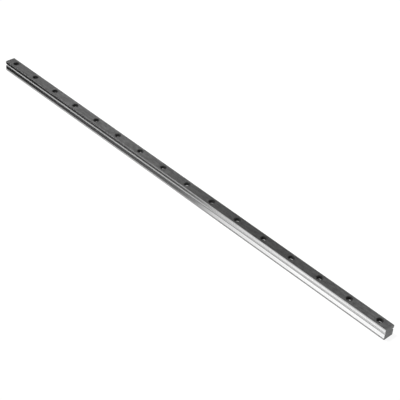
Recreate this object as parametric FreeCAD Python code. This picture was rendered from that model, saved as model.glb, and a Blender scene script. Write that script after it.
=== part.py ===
import FreeCAD, Part
import math
import os

# A straight length of profiled linear guide rail, lying on its base.
# X runs along the rail, Y across it and Z up; the origin is the middle of the base.
# All sizes are in millimetres and all angles in degrees.

# Bar that the rail is cut from
rail_width = 20.0
rail_height = 20.0
head_chamfer_width = 0.8
head_chamfer_height = 1.2
foot_chamfer_width = 0.5
foot_chamfer_height = 1.3
end_chamfer = 0.4

# Row of counterbored screw holes
hole_count = 16
hole_pitch = 60.0
end_distance = 20.0
screw_hole_diameter = 6.0
counterbore_diameter = 9.5
counterbore_depth = 6.0
mouth_chamfer = 0.5

# Pointed-arch ball raceway, ground along both sides
ball_diameter = 4.0
ball_height = 12.5
ball_standoff = 0.2
arc_to_ball_ratio = 1.04
contact_angle = 45.0
relief_width = 1.0
relief_depth = 0.6

rail_length = (hole_count - 1) * hole_pitch + 2 * end_distance
half_length = rail_length / 2
half_width = rail_width / 2
on_end_plane = 1e-6


def bar():
    # Rectangle with its head and foot corners taken off, run out to the full length
    foot = half_width - foot_chamfer_width
    top = half_width - head_chamfer_width
    shoulder = rail_height - head_chamfer_height
    right = [(foot, 0), (half_width, foot_chamfer_height), (half_width, shoulder), (top, rail_height)]
    left = [(-y, z) for y, z in reversed(right)]
    corners = [FreeCAD.Vector(-half_length, y, z) for y, z in right + left]
    outline = Part.makePolygon(corners + corners[:1])
    return Part.Face(outline).extrude(FreeCAD.Vector(rail_length, 0, 0))


def chamfer_ends(solid):
    def on_end(edge):
        return all(half_length - abs(vertex.X) < on_end_plane for vertex in edge.Vertexes)

    return solid.makeChamfer(end_chamfer, [edge for edge in solid.Edges if on_end(edge)])


def raceway_flank(x, side, arc_y, arc_z, arc_radius, root_angle):
    # Three points of one flank, from the root relief out to the mouth; side is 1 above, -1 below
    mouth_angle = math.pi / 2
    points = []
    for angle in (root_angle, (root_angle + mouth_angle) / 2, mouth_angle):
        y = arc_y + arc_radius * math.cos(angle)
        z = arc_z + side * arc_radius * math.sin(angle)
        points.append(FreeCAD.Vector(x, y, z))
    return points


def raceway_section(x, growth):
    # Each flank is an arc a little larger than the ball that touches it at the contact angle,
    # so its centre lies beyond the ball's centre, seen from the point of contact.
    # growth opens the whole section out into the rail.
    ball_radius = ball_diameter / 2
    shift = ball_radius * (arc_to_ball_ratio - 1)
    shift_out = shift * math.cos(math.radians(contact_angle))
    shift_along = shift * math.sin(math.radians(contact_angle))
    arc_y = half_width + ball_standoff + shift_out
    arc_radius = ball_radius + shift + growth
    root_angle = math.pi - math.asin((relief_width / 2 + growth + shift_along) / arc_radius)
    upper = raceway_flank(x, 1, arc_y, ball_height - shift_along, arc_radius, root_angle)
    lower = raceway_flank(x, -1, arc_y, ball_height + shift_along, arc_radius, root_angle)
    into_rail = FreeCAD.Vector(0, -relief_depth, 0)
    relief_top = upper[0] + into_rail
    relief_bottom = lower[0] + into_rail
    return Part.Wire([
        Part.Arc(*upper).toShape(),
        Part.LineSegment(upper[-1], lower[-1]).toShape(),
        Part.Arc(*reversed(lower)).toShape(),
        Part.LineSegment(lower[0], relief_bottom).toShape(),
        Part.LineSegment(relief_bottom, relief_top).toShape(),
        Part.LineSegment(relief_top, upper[0]).toShape(),
    ])


def raceway():
    # Straight groove with a flared lead-in at both ends, where a carriage is slid on
    groove = Part.Face(raceway_section(-half_length, 0)).extrude(FreeCAD.Vector(rail_length, 0, 0))
    lead_ins = []
    for end in (-1, 1):
        inner = raceway_section(end * (half_length - end_chamfer), 0)
        outer = raceway_section(end * half_length, end_chamfer)
        lead_ins.append(Part.makeLoft([inner, outer], True, True))
    return groove.fuse(lead_ins)


def screw_hole():
    # Stepped hole turned about its own axis, with both mouths countersunk past the faces
    bore = screw_hole_diameter / 2
    seat = counterbore_diameter / 2
    seat_height = rail_height - counterbore_depth
    profile = [
        (0, -mouth_chamfer),
        (bore + 2 * mouth_chamfer, -mouth_chamfer),
        (bore, mouth_chamfer),
        (bore, seat_height),
        (seat, seat_height),
        (seat, rail_height - mouth_chamfer),
        (seat + 2 * mouth_chamfer, rail_height + mouth_chamfer),
        (0, rail_height + mouth_chamfer),
    ]
    corners = [FreeCAD.Vector(r, 0, z) for r, z in profile]
    outline = Part.makePolygon(corners + corners[:1])
    return Part.Face(outline).revolve(FreeCAD.Vector(0, 0, 0), FreeCAD.Vector(0, 0, 1), 360)


def screw_holes():
    first = -hole_pitch * (hole_count - 1) / 2
    hole = screw_hole()
    return [hole.translated(FreeCAD.Vector(first + n * hole_pitch, 0, 0)) for n in range(hole_count)]


def guide_rail():
    right_raceway = raceway()
    left_raceway = right_raceway.mirror(FreeCAD.Vector(0, 0, 0), FreeCAD.Vector(0, 1, 0))
    return chamfer_ends(bar()).cut([right_raceway, left_raceway] + screw_holes())


os.makedirs("parts", exist_ok=True)
guide_rail().exportStep("parts/guide_rail.step")
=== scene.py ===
import math

import bmesh
import bpy
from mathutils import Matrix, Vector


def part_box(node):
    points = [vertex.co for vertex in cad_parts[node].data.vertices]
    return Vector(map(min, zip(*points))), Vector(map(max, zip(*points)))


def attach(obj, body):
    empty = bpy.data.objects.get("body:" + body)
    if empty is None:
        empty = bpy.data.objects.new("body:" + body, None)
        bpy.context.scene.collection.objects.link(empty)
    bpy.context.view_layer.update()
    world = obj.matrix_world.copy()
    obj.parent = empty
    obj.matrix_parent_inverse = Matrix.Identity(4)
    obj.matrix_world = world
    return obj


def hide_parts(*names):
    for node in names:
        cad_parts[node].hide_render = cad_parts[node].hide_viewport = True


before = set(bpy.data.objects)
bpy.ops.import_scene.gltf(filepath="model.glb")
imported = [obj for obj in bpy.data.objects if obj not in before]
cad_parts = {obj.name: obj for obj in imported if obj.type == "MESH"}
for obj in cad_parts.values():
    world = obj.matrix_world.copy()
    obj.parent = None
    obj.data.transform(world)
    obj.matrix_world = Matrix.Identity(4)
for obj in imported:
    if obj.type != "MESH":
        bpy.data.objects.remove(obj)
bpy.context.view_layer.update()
mm = 0.001
print("frame loaded:", ", ".join(sorted(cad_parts)))


# small tools for edit mode, used on whatever piece is active

samePlace = 0.002 * mm  # points closer than this count as one place
weldGap = 0.001 * mm    # points closer than this are merged
cutGap = 0.0001 * mm    # points closer to a cut than this lie on it
facing = 0.9            # share of the normal along an axis from which a face looks that way
leaning = 0.2           # and from which it leans that way


def makeActive(piece):
    bpy.ops.object.select_all(action="DESELECT")
    piece.select_set(True)
    bpy.context.view_layer.objects.active = piece


def pick(piece, kind, test):
    # selects the faces or edges that pass the test, and nothing else
    bpy.ops.mesh.select_mode(type=kind)
    bpy.ops.mesh.select_all(action="DESELECT")
    mesh = bmesh.from_edit_mesh(piece.data)
    for item in mesh.faces if kind == "FACE" else mesh.edges:
        item.select_set(test(item))
    bmesh.update_edit_mesh(piece.data)


def near(value, target):
    return abs(value - target) < samePlace


def allNear(edge, axis, target):
    return all(near(getattr(vert.co, axis), target) for vert in edge.verts)


def runsAlong(edge):
    return near(edge.verts[0].co.y, edge.verts[1].co.y)


def cutAcross(point, direction, trim=False):
    # flat cut through the whole piece; trim drops and closes what lies past it
    bpy.ops.mesh.select_all(action="SELECT")
    bpy.ops.mesh.bisect(
        plane_co=point, plane_no=direction, threshold=cutGap, use_fill=trim, clear_outer=trim)


def pullOut(move, scale=(1, 1, 1), centre=(0, 0, 0)):
    # one extrude step of what is selected
    bpy.ops.mesh.extrude_region_move(TRANSFORM_OT_translate={"value": move})
    bpy.ops.transform.resize(value=scale, center_override=centre)


# guide rail: one hole pitch of the bar is modelled, repeated along X and cut to length

railSet = {
    "holes": 16,
    "pitch": 60.0,              # mm, as all lengths here
    "headChamfer": (0.8, 1.2),  # across, down
    "footChamfer": (0.5, 1.3),  # across, up
    "endChamfer": 0.4,
    "boreWide": 6.0,
    "seatWide": 9.5,
    "seatDeep": 6.0,
    "mouthChamfer": 0.5,
    "ballWide": 4.0,
    "ballHigh": 12.5,
    "ballOut": 0.2,             # ball centre beyond the side of the bar
    "arcRatio": 1.04,           # raceway arc to ball
    "contactAngle": 45.0,       # degrees, as all angles here
    "reliefWide": 1.0,
    "reliefDeep": 0.6,
    "holeSides": 64,
    "arcSteps": 5,
    "edgeBreak": 0.07,
    "edgeSteps": 2,
    "sharpFrom": 25.0,          # edges with at least this angle are broken
    "smoothUpTo": 40.0,         # the shading runs on over angles below this
    "areaWeight": 100,          # how far large faces lead the shading
}

boxLow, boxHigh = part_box("guide_rail")
railLong = boxHigh.x - boxLow.x
railHigh = boxHigh.z
halfWide = boxHigh.y
pitch = railSet["pitch"] * mm
firstHole = -pitch * (railSet["holes"] - 1) / 2
rimRadius = (railSet["seatWide"] / 2 + railSet["mouthChamfer"]) * mm
seatHigh = railHigh - railSet["seatDeep"] * mm
ballHigh = railSet["ballHigh"] * mm
halfTop = halfWide - railSet["headChamfer"][0] * mm
halfFoot = halfWide - railSet["footChamfer"][0] * mm


def racewayArc():
    # (distance from the middle plane, half opening) from the lip of the groove in to its root
    ballRadius = railSet["ballWide"] / 2
    shift = ballRadius * (railSet["arcRatio"] - 1)
    shiftOut = shift * math.cos(math.radians(railSet["contactAngle"]))
    shiftAlong = shift * math.sin(math.radians(railSet["contactAngle"]))
    radius = ballRadius + shift
    centreOut = railSet["ballOut"] + shiftOut
    lip = math.acos(-centreOut / radius)
    root = math.pi - math.asin((railSet["reliefWide"] / 2 + shiftAlong) / radius)
    points = []
    for step in range(railSet["arcSteps"] + 1):
        angle = lip + (root - lip) * step / railSet["arcSteps"]
        inwards = (centreOut + radius * math.cos(angle)) * mm
        points.append((halfWide + inwards, (radius * math.sin(angle) - shiftAlong) * mm))
    return points


def startBar():
    # block one pitch long, with the head and foot corners taken off
    bpy.ops.object.select_all(action="DESELECT")
    bpy.ops.mesh.primitive_cube_add(
        size=1, location=(firstHole, 0, railHigh / 2), scale=(pitch, halfWide * 2, railHigh))
    bar = bpy.context.object
    bar.name = "guideRail"
    bpy.ops.object.transform_apply(location=True, rotation=True, scale=True)
    bpy.ops.object.mode_set(mode="EDIT")
    for level, way, (across, along) in (
            (railHigh, -1, railSet["headChamfer"]), (0, 1, railSet["footChamfer"])):
        pick(bar, "EDGE", lambda edge: allNear(edge, "z", level) and runsAlong(edge))
        bpy.ops.mesh.bevel(offset=across * mm, segments=1, affect="EDGES")
        pick(bar, "EDGE", lambda edge: allNear(edge, "z", level + way * across * mm))
        bpy.ops.transform.translate(value=(0, 0, way * (along - across) * mm))
    return bar


def cutRaceways(bar):
    # pointed arch along both sides, pushed in step by step, then the relief at its root
    arc = racewayArc()
    lipHalf = arc[0][1]
    for way in (-1, 1):
        cutAcross((0, 0, ballHigh + way * lipHalf), (0, 0, 1))
    for side in (-1, 1):
        pick(bar, "FACE", lambda face: (
            face.normal.y * side > facing and near(face.calc_center_median().z, ballHigh)))
        for (outer, opening), (inner, narrower) in zip(arc, arc[1:]):
            centre = (firstHole, side * inner, ballHigh)
            pullOut((0, side * (inner - outer), 0), (1, 1, narrower / opening), centre)
        pullOut((0, -side * railSet["reliefDeep"] * mm, 0))
    pick(bar, "FACE", lambda face: abs(face.normal.x) > facing)
    bpy.ops.mesh.delete(type="FACE")  # leaves an open tube


def openFace(bar, up, half, level, radius):
    # joins the square left round a hole to the hole's round mouth
    def overHole(face):
        middle = face.calc_center_median()
        centred = near(middle.x, firstHole) and near(middle.y, 0)
        return face.normal.z * up > facing and near(middle.z, level) and centred

    def onMouth(edge):
        return all(near(math.hypot(vert.co.x - firstHole, vert.co.y), radius) for vert in edge.verts)

    def onSquare(edge):
        ends = [(abs(vert.co.x - firstHole), abs(vert.co.y)) for vert in edge.verts]
        across = all(near(x, halfTop) for x, y in ends)
        along = all(near(y, half) and x < halfTop + samePlace for x, y in ends)
        return across or along

    pick(bar, "FACE", overHole)
    bpy.ops.mesh.delete(type="FACE")
    pick(bar, "EDGE", lambda edge: allNear(edge, "z", level) and (onMouth(edge) or onSquare(edge)))
    bpy.ops.mesh.bridge_edge_loops()


def sinkHole(bar):
    # counterbore, seat, bore and both mouth chamfers, drawn down from one circle
    for way in (-1, 1):
        cutAcross((firstHole + way * halfTop, 0, 0), (1, 0, 0))
    chamfer = railSet["mouthChamfer"] * mm
    seat = railSet["seatWide"] / 2 * mm
    bore = railSet["boreWide"] / 2 * mm
    centre = (firstHole, 0, 0)
    bpy.ops.mesh.select_mode(type="EDGE")
    bpy.ops.mesh.select_all(action="DESELECT")
    bpy.ops.mesh.primitive_circle_add(
        vertices=railSet["holeSides"], radius=rimRadius, location=(firstHole, 0, railHigh))
    for depth, before, after in (
            (chamfer, rimRadius, seat),
            (railHigh - chamfer - seatHigh, seat, seat),
            (0, seat, bore),
            (seatHigh - chamfer, bore, bore),
            (chamfer, bore, bore + chamfer)):
        ratio = after / before
        pullOut((0, 0, -depth), (ratio, ratio, 1), centre)
    openFace(bar, 1, halfTop, railHigh, rimRadius)
    openFace(bar, -1, halfFoot, 0, bore + chamfer)


def cutToLength(bar):
    # row of pitches, trimmed at both ends and chamfered there
    bpy.ops.object.mode_set(mode="OBJECT")
    row = bar.modifiers.new("row of pitches", "ARRAY")
    row.count = railSet["holes"]
    row.use_relative_offset = False
    row.use_constant_offset = True
    row.constant_offset_displace = (pitch, 0, 0)
    row.use_merge_vertices = True
    row.merge_threshold = weldGap
    bpy.ops.object.modifier_apply(modifier=row.name)
    bpy.ops.object.mode_set(mode="EDIT")
    for way in (-1, 1):
        end = way * railLong / 2
        cutAcross((end, 0, 0), (way, 0, 0), trim=True)
        pick(bar, "FACE", lambda face: (
            abs(face.normal.x) > facing and near(face.calc_center_median().x, end)))
        bpy.ops.mesh.dissolve_faces()
        pick(bar, "EDGE", lambda edge: allNear(edge, "x", end))
        bpy.ops.mesh.bevel(offset=railSet["endChamfer"] * mm, segments=1, affect="EDGES")


def breakEdges(bar):
    # every sharp edge gets a tiny round, then the shading is evened out
    bpy.ops.mesh.select_mode(type="EDGE")
    bpy.ops.mesh.select_all(action="SELECT")
    bpy.ops.mesh.remove_doubles(threshold=weldGap)
    bpy.ops.mesh.normals_make_consistent(inside=False)
    bpy.ops.mesh.select_all(action="DESELECT")
    bpy.ops.mesh.edges_select_sharp(sharpness=math.radians(railSet["sharpFrom"]))
    bpy.ops.mesh.bevel(offset=railSet["edgeBreak"] * mm, segments=railSet["edgeSteps"], affect="EDGES")
    bpy.ops.object.mode_set(mode="OBJECT")
    bpy.ops.object.shade_smooth_by_angle(angle=math.radians(railSet["smoothUpTo"]))
    even = bar.modifiers.new("even shading", "WEIGHTED_NORMAL")
    even.keep_sharp = True
    even.weight = railSet["areaWeight"]
    bpy.ops.object.modifier_apply(modifier=even.name)


rail = startBar()
print("bar started:", len(rail.data.polygons), "faces")
cutRaceways(rail)
print("raceways cut")
sinkHole(rail)
print("hole sunk")
cutToLength(rail)
print("cut to length")
breakEdges(rail)
print("edges broken:", len(rail.data.polygons), "faces")
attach(rail, "root")
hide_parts("guide_rail")


# shader building: one call per node, sockets and plain values alike

plainDetail = 2.0       # octaves of a noise
fineDetail = 3.0
grainSpan = (0.3, 0.7)  # nearly all of a noise lies between these


def addNode(tree, kind, inputs=None, **settings):
    node = tree.nodes.new(kind)
    for name, value in settings.items():
        setattr(node, name, value)
    for name, value in (inputs or {}).items():
        if isinstance(value, bpy.types.NodeSocket):
            tree.links.new(value, node.inputs[name])
        else:
            node.inputs[name].default_value = value
    return node


def calc(tree, operation, *values, clamp=False):
    inputs = dict(enumerate(values))
    return addNode(tree, "ShaderNodeMath", inputs, operation=operation, use_clamp=clamp).outputs[0]


def blend(tree, first, second, share):
    # that share of the first and the rest of the second
    return calc(tree, "MULTIPLY_ADD", first, share, calc(tree, "MULTIPLY", second, 1 - share))


def ramp(tree, value, fromLow, fromHigh, toLow, toHigh):
    node = addNode(tree, "ShaderNodeMapRange", {
        "Value": value, "From Min": fromLow, "From Max": fromHigh, "To Min": toLow, "To Max": toHigh})
    return node.outputs["Result"]


def grey(level):
    return (level, level, level, 1)


def mixIn(tree, factor, colour, level):
    # the colour sockets go by number, because a Mix node has others of the same names
    node = addNode(tree, "ShaderNodeMix", {0: factor, 6: colour, 7: grey(level)}, data_type="RGBA")
    return node.outputs[2]


def objectPlace(tree):
    return addNode(tree, "ShaderNodeTexCoord").outputs["Object"]


def placeParts(tree):
    return addNode(tree, "ShaderNodeSeparateXYZ", {"Vector": objectPlace(tree)}).outputs


def stretchedNoise(tree, stretch, scale, detail=plainDetail, turn=(0, 0, 0)):
    # drawn out along each axis whose stretch is below 1
    moved = addNode(tree, "ShaderNodeMapping", {
        "Vector": objectPlace(tree), "Rotation": turn, "Scale": stretch})
    noise = addNode(tree, "ShaderNodeTexNoise", {
        "Vector": moved.outputs["Vector"], "Scale": scale, "Detail": detail})
    return noise.outputs["Fac"]


def newGroup(name, inputs, outputs):
    group = bpy.data.node_groups.new(name, "ShaderNodeTree")
    for labels, way in ((inputs, "INPUT"), (outputs, "OUTPUT")):
        for label in labels:
            group.interface.new_socket(label, in_out=way, socket_type="NodeSocketFloat")
    given = group.nodes.new("NodeGroupInput").outputs
    return group, given, group.nodes.new("NodeGroupOutput").inputs


def useGroup(tree, group, inputs):
    return addNode(tree, "ShaderNodeGroup", inputs, node_tree=group).outputs


grindSet = {"fineStretch": 0.006, "broadStretch": 0.01, "broadScale": 0.16, "fineShare": 0.6}


def grindingGroup():
    # fine scratches that run along X, as a surface grinder leaves them
    group, given, out = newGroup("lengthwise grinding", ["Lines per metre"], ["Tone", "Height"])
    lines = given["Lines per metre"]
    fewer = calc(group, "MULTIPLY", lines, grindSet["broadScale"])
    fine = stretchedNoise(group, (grindSet["fineStretch"], 1, 1), lines, fineDetail)
    broad = stretchedNoise(group, (grindSet["broadStretch"], 1, 1), fewer)
    group.links.new(blend(group, fine, broad, grindSet["fineShare"]), out["Tone"])
    group.links.new(fine, out["Height"])
    return group


mottleSet = {"broadStretch": 0.5, "broadScale": 0.3, "broadDetail": 1.0, "fineShare": 0.5}


def mottleGroup():
    # even speckle, for finishes with a fine grain
    group, given, out = newGroup("fine mottle", ["Grains per metre"], ["Tone"])
    grains = given["Grains per metre"]
    fewer = calc(group, "MULTIPLY", grains, mottleSet["broadScale"])
    fine = stretchedNoise(group, (1, 1, 1), grains, fineDetail)
    broad = stretchedNoise(group, (mottleSet["broadStretch"], 1, 1), fewer, mottleSet["broadDetail"])
    group.links.new(blend(group, fine, broad, mottleSet["fineShare"]), out["Tone"])
    return group


def holeGroup():
    # distance from the axis of the nearest hole
    group, given, out = newGroup("distance from a hole", ["Pitch", "First"], ["Radius"])
    spot = placeParts(group)
    half = calc(group, "MULTIPLY", given["Pitch"], 0.5)
    fromFirst = calc(group, "SUBTRACT", spot["X"], given["First"])
    along = calc(group, "WRAP", fromFirst, half, calc(group, "MULTIPLY", half, -1.0))
    square = calc(group, "MULTIPLY_ADD", along, along, calc(group, "MULTIPLY", spot["Y"], spot["Y"]))
    group.links.new(calc(group, "SQRT", square), out["Radius"])
    return group


wearSet = {"stretch": 0.4, "grains": 700.0, "least": 0.2, "vary": 1.6}


def wearGroup():
    # 1 at an edge, 0 further than Reach from it, broken up by a little noise
    group, given, out = newGroup("edge wear", ["Distance", "Reach"], ["Mask"])
    noise = stretchedNoise(group, (wearSet["stretch"], 1, 1), wearSet["grains"], fineDetail)
    uneven = calc(group, "MULTIPLY_ADD", noise, wearSet["vary"], wearSet["least"])
    share = calc(group, "DIVIDE", given["Distance"], calc(group, "MULTIPLY", given["Reach"], uneven))
    group.links.new(calc(group, "SUBTRACT", 1.0, share, clamp=True), out["Mask"])
    return group


grinding = grindingGroup()
mottle = mottleGroup()
aroundHole = holeGroup()
edgeWear = wearGroup()
print("shader groups made")


def newFinish(name):
    finish = bpy.data.materials.new(name)
    finish.use_nodes = True
    tree = finish.node_tree
    return finish, tree, tree.nodes["Principled BSDF"].inputs


def toneGrey(tree, tone, look):
    # the first grey at the low end of the tone's span, the second at its high end
    dark, light = look["greys"]
    return mixIn(tree, ramp(tree, tone, *look["toneSpan"], 0, 1), grey(dark), light)


def rubbedEdge(tree, colour, distance, look):
    # bare metal showing where an edge is worn
    worn = useGroup(tree, edgeWear, {"Distance": distance, "Reach": look["wearReach"] * mm})["Mask"]
    return mixIn(tree, calc(tree, "MULTIPLY", worn, look["wornShare"]), colour, look["wornGrey"])


def holeRadius(tree):
    return useGroup(tree, aroundHole, {"Pitch": pitch, "First": firstHole})["Radius"]


def feedShader(tree, shader, look, colour, grain, height):
    # what every finish ends with; the grain varies its roughness
    raised = addNode(tree, "ShaderNodeBump", {
        "Height": height, "Strength": look["bump"], "Distance": look["bumpDeep"] * mm})
    tree.links.new(colour, shader["Base Color"])
    tree.links.new(ramp(tree, grain, *grainSpan, *look["rough"]), shader["Roughness"])
    tree.links.new(raised.outputs["Normal"], shader["Normal"])
    shader["Metallic"].default_value = look["metal"]


# finishes: lines, marks, grains, turns and rings to the metre; heights, depths and reaches in mm;
# greys and roughness run from the low end of the grain to its high end
linedSet = {"toneSpan": (0.0, 0.55), "bumpDeep": 0.02, "metal": 1.0}
groundSet = {
    **linedSet, "greys": (0.50, 0.82), "rough": (0.14, 0.22), "lines": 4500.0, "bump": 0.15,
    "chatter": 0.45, "chatterMarks": 800.0, "chatterStretch": 0.12, "chatterFrom": (14.0, 15.0),
    "chatterDark": 0.95}
raceSet = {**linedSet, "greys": (0.50, 0.74), "rough": (0.08, 0.16), "lines": 7000.0, "bump": 0.15}
reliefSet = {**linedSet, "greys": (0.42, 0.56), "rough": (0.40, 0.50), "lines": 3000.0, "bump": 0.3}
# the foot chamfer's greys are partly its dull as-drawn finish and partly painted shade, the shade along the
# rail's foot
drawnAndShadedSet = {**linedSet, "greys": (0.36, 0.60), "rough": (0.30, 0.42), "lines": 2600.0, "bump": 0.3}


def headChatter(tree, look):
    # short upright marks on the sides of the head, which are also darker on the whole
    stretch = look["chatterStretch"]
    marks = stretchedNoise(tree, (1, stretch, stretch), look["chatterMarks"])
    low, high = look["chatterFrom"]
    share = ramp(tree, placeParts(tree)["Z"], low * mm, high * mm, 0, look["chatter"])
    return calc(tree, "MULTIPLY", share, calc(tree, "SUBTRACT", marks, look["chatterDark"]))


def linedSteel(name, look):
    # steel with lines along the rail
    finish, tree, shader = newFinish(name)
    lines = useGroup(tree, grinding, {"Lines per metre": look["lines"]})
    tone = lines["Tone"]
    if "chatter" in look:
        tone = calc(tree, "ADD", tone, headChatter(tree, look))
    feedShader(tree, shader, look, toneGrey(tree, tone, look), lines["Tone"], lines["Height"])
    return finish


# the top's near-black greys are partly a blackened finish and partly painted dark reflection of the studio
# above
blackSet = {
    "greys": (0.115, 0.195), "toneSpan": (0.4, 0.6), "rough": (0.46, 0.34), "bump": 0.3, "bumpDeep": 0.03,
    "metal": 1.0, "lines": 2600.0, "grains": 650.0, "linesShare": 0.35,
    "wornGrey": 0.25, "wornShare": 0.2, "wearReach": 0.2,
    "mouthShadeGrey": 0.01, "mouthShadeShare": 0.9, "mouthShadeReach": 1.0}


def blackenedAndShadedTop():
    # rubbed a little along the long edges, and darker round the holes, where the dark ring is painted shade
    # at their mouths
    finish, tree, shader = newFinish("blackened steel with painted dark reflection")
    lines = useGroup(tree, grinding, {"Lines per metre": blackSet["lines"]})["Tone"]
    speckle = useGroup(tree, mottle, {"Grains per metre": blackSet["grains"]})["Tone"]
    tone = blend(tree, lines, speckle, blackSet["linesShare"])
    toSide = calc(tree, "SUBTRACT", halfTop, calc(tree, "ABSOLUTE", placeParts(tree)["Y"]))
    rubbed = rubbedEdge(tree, toneGrey(tree, tone, blackSet), toSide, blackSet)
    # painted shade: a dark ring on the top round the mouth of each hole
    mouthShadeEnd = rimRadius + blackSet["mouthShadeReach"] * mm
    paintedMouthShade = ramp(tree, holeRadius(tree), rimRadius, mouthShadeEnd, blackSet["mouthShadeShare"], 0)
    colour = mixIn(tree, paintedMouthShade, rubbed, blackSet["mouthShadeGrey"])
    feedShader(tree, shader, blackSet, colour, tone, tone)
    return finish


sawnSet = {
    "greys": (0.10, 0.165), "toneSpan": (0.35, 0.65), "rough": (0.58, 0.42), "bump": 0.35, "bumpDeep": 0.04,
    "metal": 1.0, "marks": 1800.0, "marksStretch": 0.02, "slope": 12.0, "grains": 600.0, "marksShare": 0.6,
    "wornGrey": 0.4, "wornShare": 0.5, "wearReach": 0.3}


def sawnEnd():
    # abrasive-cut face, with slightly slanting wheel marks across it
    finish, tree, shader = newFinish("cut end")
    marks = stretchedNoise(tree, (1, sawnSet["marksStretch"], 1), sawnSet["marks"], fineDetail,
                           turn=(math.radians(sawnSet["slope"]), 0, 0))
    speckle = useGroup(tree, mottle, {"Grains per metre": sawnSet["grains"]})["Tone"]
    tone = blend(tree, marks, speckle, sawnSet["marksShare"])
    spot = placeParts(tree)
    toTop = calc(tree, "SUBTRACT", railHigh, spot["Z"])
    toSide = calc(tree, "SUBTRACT", halfWide, calc(tree, "ABSOLUTE", spot["Y"]))
    toEdge = calc(tree, "MINIMUM", toTop, toSide)
    colour = rubbedEdge(tree, toneGrey(tree, tone, sawnSet), toEdge, sawnSet)
    feedShader(tree, shader, sawnSet, colour, tone, tone)
    return finish


# painted shade: near-black greys and a weak specular keep the hole walls dark
shadedBoreSet = {
    "greys": (0.05, 0.09), "toneSpan": (0.0, 1.0), "rough": (0.5, 0.6), "bump": 0.3, "bumpDeep": 0.03,
    "metal": 0.1, "specular": 0.1, "turns": 3200.0, "turnsStretch": 0.05}


def turnedShadedBore():
    # walls of the holes, with the drill's feed marks round them; their near-black greys and weak specular
    # are painted shade inside the holes
    finish, tree, shader = newFinish("turned bore in painted shade")
    stretch = shadedBoreSet["turnsStretch"]
    turns = stretchedNoise(tree, (stretch, stretch, 1), shadedBoreSet["turns"])
    feedShader(tree, shader, shadedBoreSet, toneGrey(tree, turns, shadedBoreSet), turns, turns)
    shader["Specular IOR Level"].default_value = shadedBoreSet["specular"]
    return finish


seatSet = {
    "greys": (0.62, 0.80), "toneSpan": grainSpan, "rough": (0.5, 0.65), "bump": 0.3, "bumpDeep": 0.02,
    "metal": 0.3, "rings": 5200.0}


def facedSeat():
    # floor of the counterbore, bright and ringed by the end mill
    finish, tree, shader = newFinish("faced seat")
    rings = addNode(tree, "ShaderNodeTexNoise", {
        "W": holeRadius(tree), "Scale": seatSet["rings"], "Detail": plainDetail},
        noise_dimensions="1D").outputs["Fac"]
    feedShader(tree, shader, seatSet, toneGrey(tree, rings, seatSet), rings, rings)
    return finish


def fromHole(spot):
    along = (spot.x - firstHole + pitch / 2) % pitch - pitch / 2
    return math.hypot(along, spot.y)


def dressRail(bar):
    # every face gets the finish of its place on the bar; the first finish is the rest
    arc = racewayArc()
    lipHalf = arc[0][1]
    rootOut, rootHalf = arc[-1]
    edge = railSet["edgeBreak"] * mm
    endFrom = railLong / 2 - railSet["endChamfer"] * mm - edge
    reliefEnd = rootOut - 2 * railSet["reliefDeep"] * mm  # well past the floor of the relief

    def onTop(face, spot):
        return face.normal.z > facing and spot.z > railHigh - edge

    def inRaceway(face, spot):
        level = abs(spot.z - ballHigh) < lipHalf + edge
        return level and rootOut - edge < abs(spot.y) < halfWide - edge

    def inRelief(face, spot):
        level = abs(spot.z - ballHigh) < rootHalf + edge
        return level and reliefEnd < abs(spot.y) < rootOut - edge

    def onFootChamfer(face, spot):
        low = spot.z < railSet["footChamfer"][1] * mm
        return low and face.normal.z < -leaning and abs(spot.y) > halfFoot

    def onEnd(face, spot):
        return abs(spot.x) > endFrom and abs(face.normal.x) > leaning

    def inHole(face, spot):
        return fromHole(spot) < rimRadius

    def onSeat(face, spot):
        return inHole(face, spot) and face.normal.z > facing and near(spot.z, seatHigh)

    places = [
        (linedSteel("ground steel", groundSet), None),
        (blackenedAndShadedTop(), onTop),
        (linedSteel("polished raceway", raceSet), inRaceway),
        (linedSteel("milled relief", reliefSet), inRelief),
        (linedSteel("drawn steel, darkened as painted shade", drawnAndShadedSet), onFootChamfer),
        (sawnEnd(), onEnd),
        (turnedShadedBore(), inHole),
        (facedSeat(), onSeat),
    ]
    makeActive(bar)
    for finish, test in places:
        bar.data.materials.append(finish)
    bpy.ops.object.mode_set(mode="EDIT")
    for index, (finish, test) in enumerate(places):
        if test is not None:
            pick(bar, "FACE", lambda face: test(face, face.calc_center_median()))
            bar.active_material_index = index
            bpy.ops.object.material_slot_assign()
    bpy.ops.object.mode_set(mode="OBJECT")


dressRail(rail)
print("rail dressed with", len(rail.data.materials), "finishes")

cameraSet = {
    "place": (1.1049, -1.1005, 1.1658),
    "turn": (52.465, -4.351, 46.766),  # degrees
    "lens": 103.08,
    "sensor": 36.0,
}


def setCamera():
    bpy.ops.object.camera_add(
        location=cameraSet["place"], rotation=[math.radians(angle) for angle in cameraSet["turn"]])
    camera = bpy.context.object
    camera.name = "productCamera"
    camera.data.lens = cameraSet["lens"]
    camera.data.sensor_width = cameraSet["sensor"]
    bpy.context.scene.camera = camera


setCamera()
print("camera set")

stageSet = {
    "floorSize": 12.0,
    "floorGrey": 0.15,
    "floorGlow": 0.91,  # seen by the camera and in the metal only
    "skyLight": 0.18,   # what the white tent gives as light; it is seen as 1
}


def emptyTree(owner):
    owner.use_nodes = True
    owner.node_tree.nodes.clear()
    return owner.node_tree


def seenDirectly(tree):
    # 1 for camera, glossy and transmission rays
    rays = addNode(tree, "ShaderNodeLightPath").outputs
    mirrored = calc(tree, "MAXIMUM", rays["Is Glossy Ray"], rays["Is Transmission Ray"])
    return calc(tree, "MAXIMUM", rays["Is Camera Ray"], mirrored)


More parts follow.
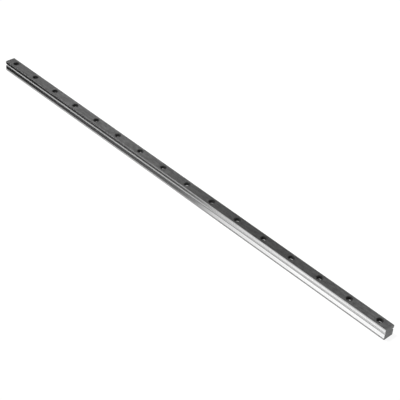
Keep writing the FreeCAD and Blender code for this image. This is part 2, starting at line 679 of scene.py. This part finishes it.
def addFloor():
    bpy.ops.object.select_all(action="DESELECT")
    bpy.ops.mesh.primitive_plane_add(size=stageSet["floorSize"])
    floor = bpy.context.object
    floor.name = "studioFloor"
    paper = bpy.data.materials.new("white paper")
    tree = emptyTree(paper)
    lit = addNode(tree, "ShaderNodeBsdfDiffuse", {"Color": grey(stageSet["floorGrey"])})
    glow = addNode(tree, "ShaderNodeEmission", {
        "Strength": calc(tree, "MULTIPLY", seenDirectly(tree), stageSet["floorGlow"])})
    both = addNode(tree, "ShaderNodeAddShader", {0: lit.outputs[0], 1: glow.outputs[0]})
    addNode(tree, "ShaderNodeOutputMaterial", {"Surface": both.outputs[0]})
    floor.data.materials.append(paper)


def addSky():
    sky = bpy.data.worlds.new("white tent")
    tree = emptyTree(sky)
    strength = ramp(tree, seenDirectly(tree), 0, 1, stageSet["skyLight"], 1)
    back = addNode(tree, "ShaderNodeBackground", {"Color": grey(1), "Strength": strength})
    addNode(tree, "ShaderNodeOutputWorld", {"Surface": back.outputs[0]})
    bpy.context.scene.world = sky


# middle, size, tilt and turn of each card, and its brightness at places along X
cardSet = {
    "sideCard": {
        "middle": (0, -0.1626, 0.0004), "size": (1.3, 0.30), "tilt": 0, "turn": 0.03,
        "stops": ((-0.47, 0.022), (-0.05, 0.115), (0.015, 0.16), (0.055, 0.30), (0.10, 0.77),
                  (0.16, 0.99), (0.28, 1.22))},
    "backCard": {
        "middle": (0, 0.1626, 0.0004), "size": (0.92, 0.30), "tilt": 0, "turn": 0,
        "stops": ((-0.40, 0.70), (-0.05, 0.38), (0.10, 0.42), (0.42, 0.75))},
    # painted shade: this darker strip, mirrored in the foot of the rail, stands for the floor's shade along
    # the foot
    "footShadeCard": {
        "middle": (0, -0.01265, 0.0002), "size": (1.0, 0.0077), "tilt": 0, "turn": 0,
        "stops": ((-0.45, 0.46), (-0.25, 0.62), (-0.05, 0.66), (0.06, 0.46), (0.12, 0.28),
                  (0.30, 0.34))},
    "chamferCard": {
        "middle": (-0.80, -1.0, 0.35), "size": (3.2, 0.30), "tilt": 90, "turn": 0,
        "stops": ((-1.50, 0.04), (-1.25, 0.08), (-1.0, 0.11), (-0.80, 0.34), (-0.64, 0.62),
                  (-0.45, 0.75))},
    "grooveCard": {
        "middle": (-0.70, -1.0, 1.10), "size": (1.0, 1.0), "tilt": 90, "turn": 0,
        "stops": ((-1.15, 1.0), (-0.85, 0.55), (-0.71, 0.44), (-0.59, 0.62), (-0.45, 0.60))},
    "roofCard": {
        "middle": (-0.80, 0, 1.2), "size": (2.5, 1.5), "tilt": 0, "turn": 0,
        "stops": ((-0.85, 0.35), (-0.50, 0.10), (-0.31, 0.14), (-0.10, 0.0))},
    "topCard": {
        "middle": (-1.15, 1.0, 1.2), "size": (2.5, 2.0), "tilt": 90, "turn": 0,
        "stops": ((-1.95, 0.25), (-1.80, 0.75), (-1.57, 1.70), (-1.35, 0.85), (-1.12, 1.35),
                  (-0.92, 1.35), (-0.78, 0.0), (-0.62, 0.0), (-0.44, 0.45), (-0.21, 1.0))},
}


def cardPaper(stops):
    # glowing paper, graded along X between the stops
    paper = bpy.data.materials.new("card")
    tree = emptyTree(paper)
    spot = placeParts(tree)
    level = stops[0][1]
    for (fromX, before), (toX, after) in zip(stops, stops[1:]):
        level = calc(tree, "ADD", level, ramp(tree, spot["X"], fromX, toX, 0, after - before))
    glow = addNode(tree, "ShaderNodeEmission", {"Strength": level})
    addNode(tree, "ShaderNodeOutputMaterial", {"Surface": glow.outputs[0]})
    return paper


def addCard(name):
    # cards show only in the polished metal, as flags do round a studio set
    settings = cardSet[name]
    bpy.ops.object.select_all(action="DESELECT")
    bpy.ops.mesh.primitive_plane_add(size=1)
    card = bpy.context.object
    card.name = name
    card.scale = (*settings["size"], 1)
    card.rotation_euler = (math.radians(settings["tilt"]), 0, math.radians(settings["turn"]))
    card.location = settings["middle"]
    bpy.ops.object.transform_apply(location=True, rotation=True, scale=True)
    card.data.materials.append(cardPaper(settings["stops"]))
    card.visible_camera = False
    card.visible_diffuse = False
    card.visible_shadow = False
    card.visible_transmission = False


lampSet = {
    "key": {"place": (-1.1, -0.85, 4.2), "size": 0.5, "watts": 140.0, "spread": 180.0},
    "front": {"place": (0.0, -0.6, 0.9), "size": 0.15, "watts": 0.28, "spread": 50.0},
}


def addLamp(name):
    settings = lampSet[name]
    bpy.ops.object.light_add(type="AREA", location=settings["place"])
    lamp = bpy.context.object
    lamp.name = name + "Lamp"
    lamp.data.size = settings["size"]
    lamp.data.energy = settings["watts"]
    lamp.data.spread = math.radians(settings["spread"])
    lamp.rotation_euler = lamp.location.to_track_quat("Z", "Y").to_euler()  # shines at the origin
    lamp.visible_glossy = False  # the metal mirrors the tent and the cards instead


addFloor()
addSky()
for name in cardSet:
    addCard(name)
for name in lampSet:
    addLamp(name)
print("stage set")

bpy.context.scene.view_settings.view_transform = "Standard"
